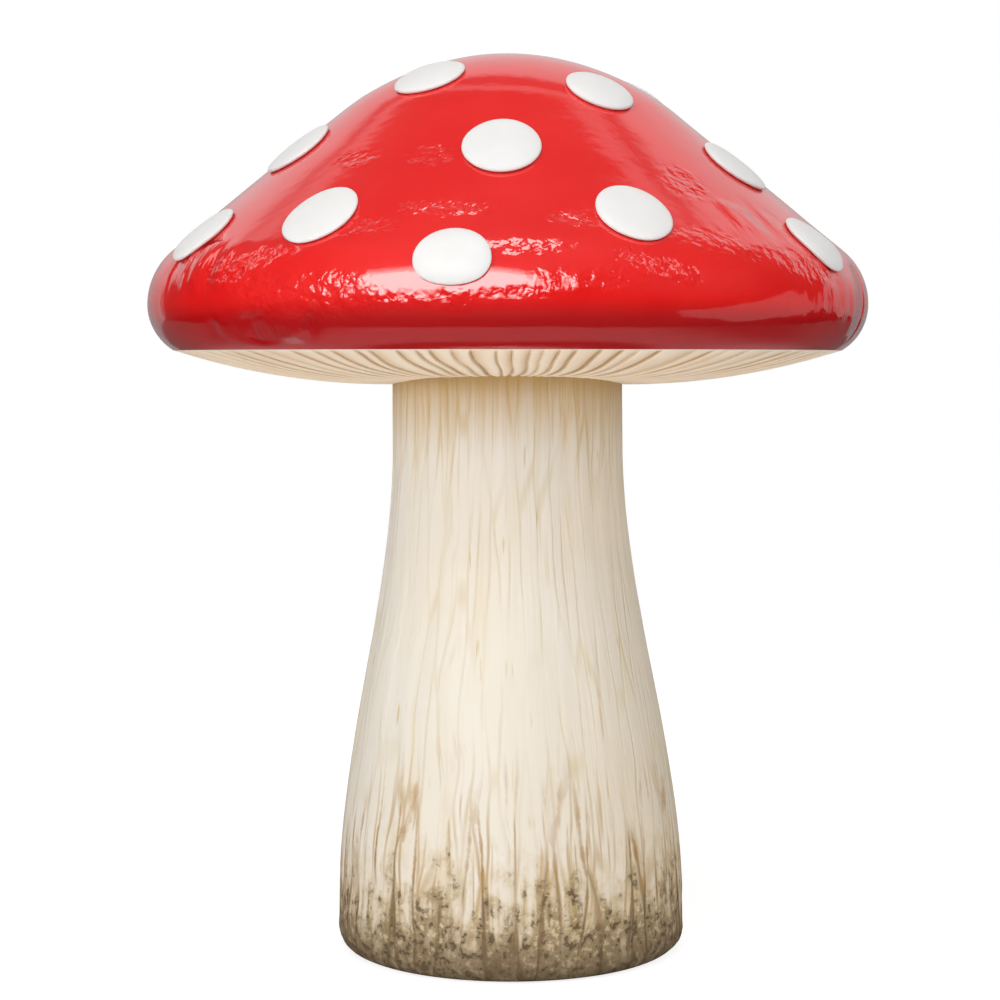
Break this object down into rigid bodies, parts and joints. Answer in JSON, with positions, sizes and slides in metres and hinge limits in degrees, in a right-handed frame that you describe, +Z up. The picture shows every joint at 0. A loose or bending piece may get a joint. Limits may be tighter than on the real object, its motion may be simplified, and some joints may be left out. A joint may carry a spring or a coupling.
{
  "type": "fibreglass toadstool figure",
  "caption": "Free-standing hollow fibreglass toadstool: a spotted domed cap with gills under it on a thick tapered stem, for garden and display decoration.",
  "frame": {"origin": "centre of the foot on the floor", "axes": "+Z up, -Y the front that faces the viewer, +X the viewer's right"},
  "size_m": [0.72, 0.7238, 0.9],
  "materials": {
    "red_gelcoat": "glossy red gelcoat with a slight orange-peel ripple",
    "white_resin": "semi-gloss white",
    "cream_gills": "satin cream paint with tan in the grooves",
    "stem_paint": "matt ivory paint, streaked, grey-brown at the foot",
    "glass_tape": "bare glass tape in resin",
    "plywood": "raw plywood",
    "zinc_steel": "zinc-plated"
  },
  "bodies": {
    "root": {"anchor_insert_1": "zinc_steel", "anchor_insert_2": "zinc_steel", "anchor_insert_3": "zinc_steel", "anchor_insert_4": "zinc_steel", "base_board": "plywood", "base_nut": "zinc_steel", "base_washer": "zinc_steel", "cap_board": "plywood", "cap_nut": "zinc_steel", "cap_shell": "red_gelcoat", "cap_washer": "zinc_steel", "foot_board": "plywood", "gill_shell": "cream_gills", "locating_plug": "plywood", "rim_bond_tape": "glass_tape", "seam_tape_left": "glass_tape", "seam_tape_right": "glass_tape", "spot_01": "white_resin", "spot_02": "white_resin", "spot_03": "white_resin", "spot_04": "white_resin", "spot_05": "white_resin", "spot_06": "white_resin", "spot_07": "white_resin", "spot_08": "white_resin", "spot_09": "white_resin", "spot_10": "white_resin", "spot_11": "white_resin", "spot_12": "white_resin", "spot_13": "white_resin", "spot_14": "white_resin", "spot_15": "white_resin", "spot_16": "white_resin", "spot_17": "white_resin", "spot_18": "white_resin", "spot_19": "white_resin", "spot_20": "white_resin", "spot_21": "white_resin", "spot_22": "white_resin", "spot_23": "white_resin", "spot_24": "white_resin", "stem_back_half": "stem_paint", "stem_front_half": "stem_paint", "tie_rod": "zinc_steel"}
  },
  "joints": []
}
